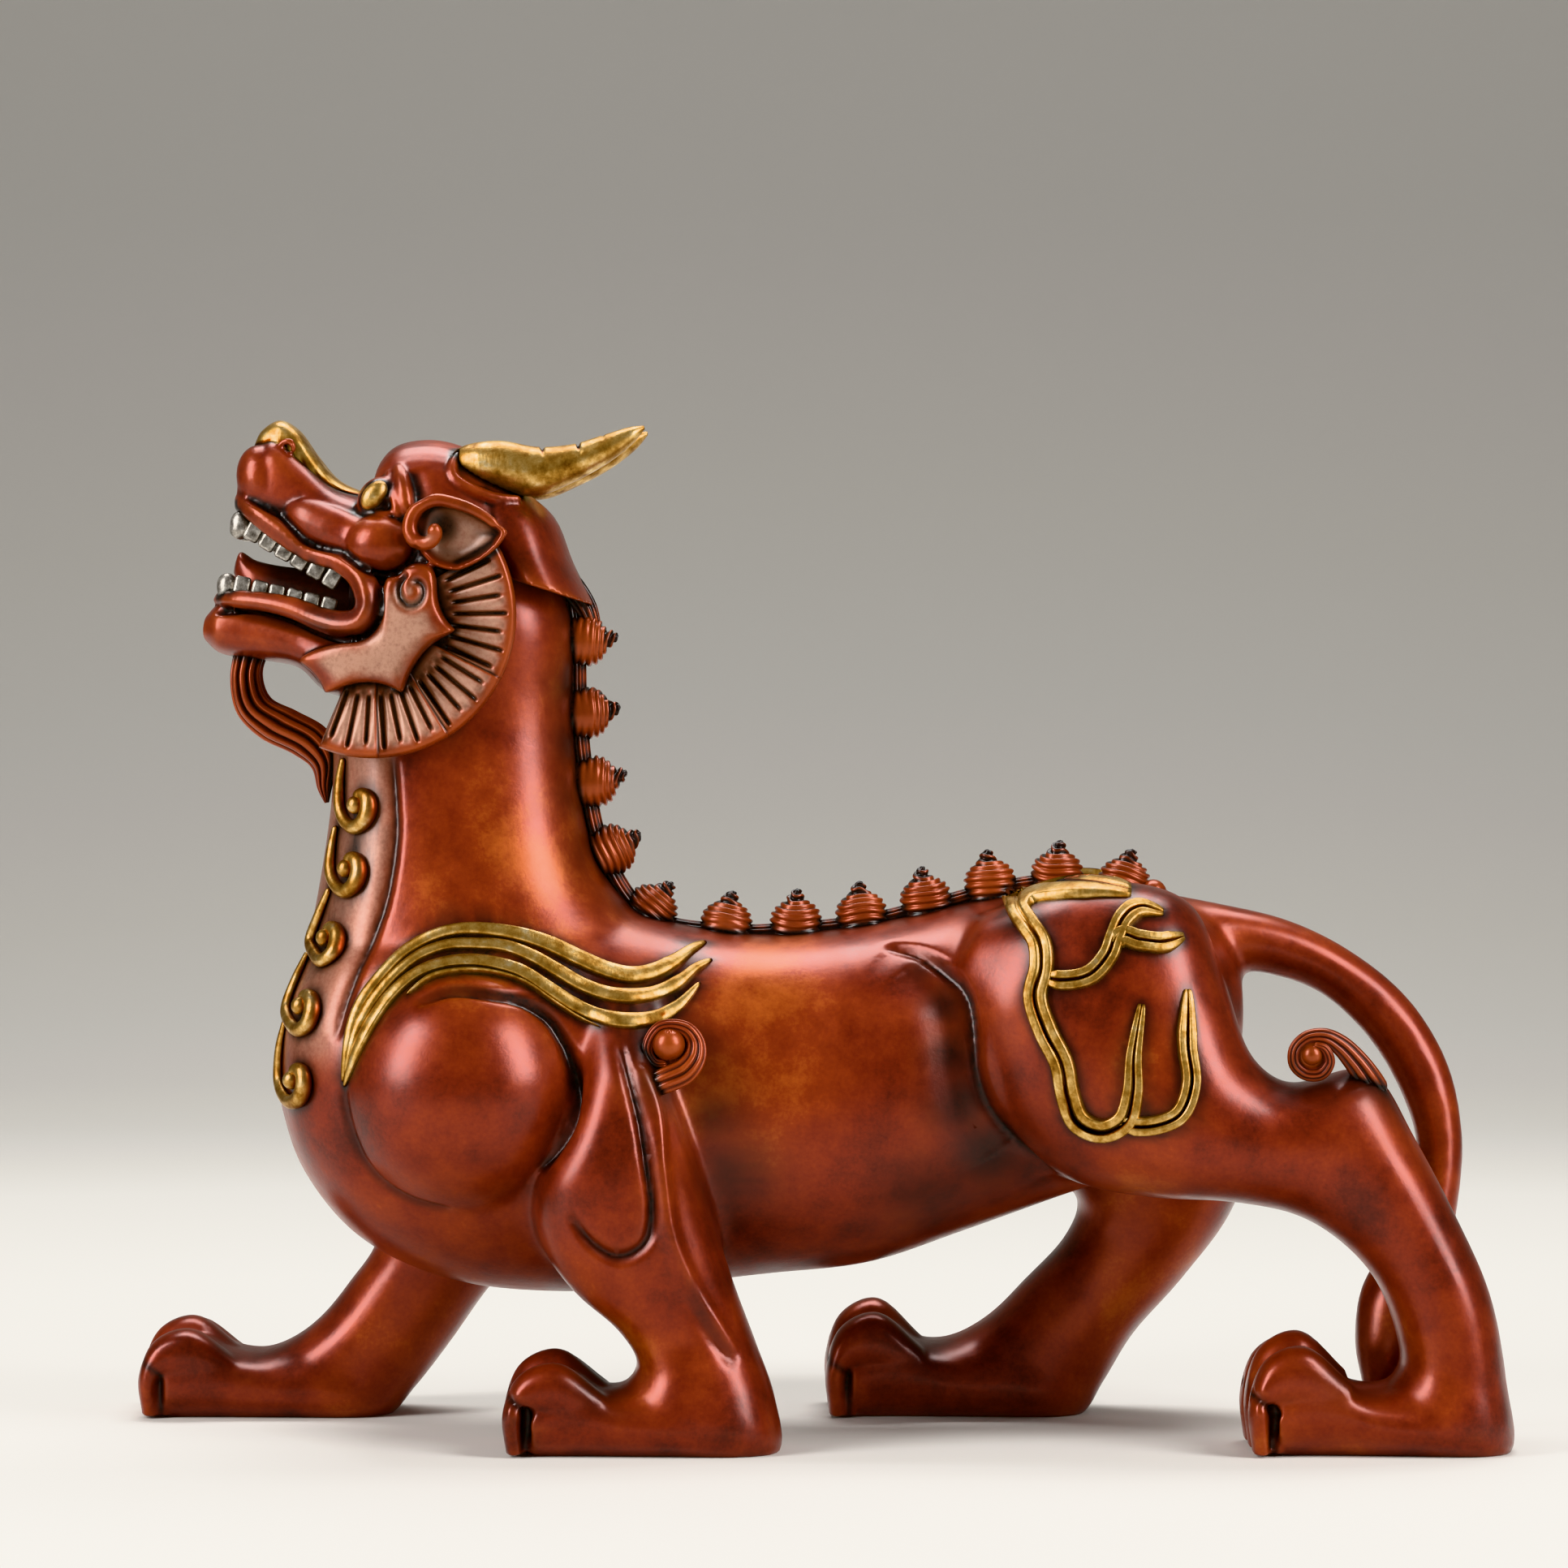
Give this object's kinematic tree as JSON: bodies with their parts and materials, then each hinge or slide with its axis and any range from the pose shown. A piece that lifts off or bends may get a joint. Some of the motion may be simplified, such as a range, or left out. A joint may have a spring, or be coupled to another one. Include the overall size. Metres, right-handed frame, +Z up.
{
  "type": "qilin figure",
  "caption": "Cast qilin figure, a horned guardian beast striding with its head up and jaws open, standing on its own feet.",
  "frame": {"origin": "middle of the figure's box, on the ground that its feet stand on", "axes": "+X from the head towards the tail, so the figure faces -X; +Y towards the figure's right-hand far side; +Z up"},
  "size_m": [0.18, 0.058, 0.1332],
  "materials": {
    "patinated_bronze": "cast copper alloy with a chestnut patina, satin and worn brighter on the high parts, with gilt, silvered and dark waxed details",
    "fire_gilding": "worn gilding on the horns, nose ridge, eyes, wing bands, chest scrolls and haunch motif, finely scratched",
    "tarnished_silver": "thin silvering on the teeth, tarnished grey"
  },
  "bodies": {
    "root": {"qilin": "patinated_bronze"}
  },
  "joints": []
}
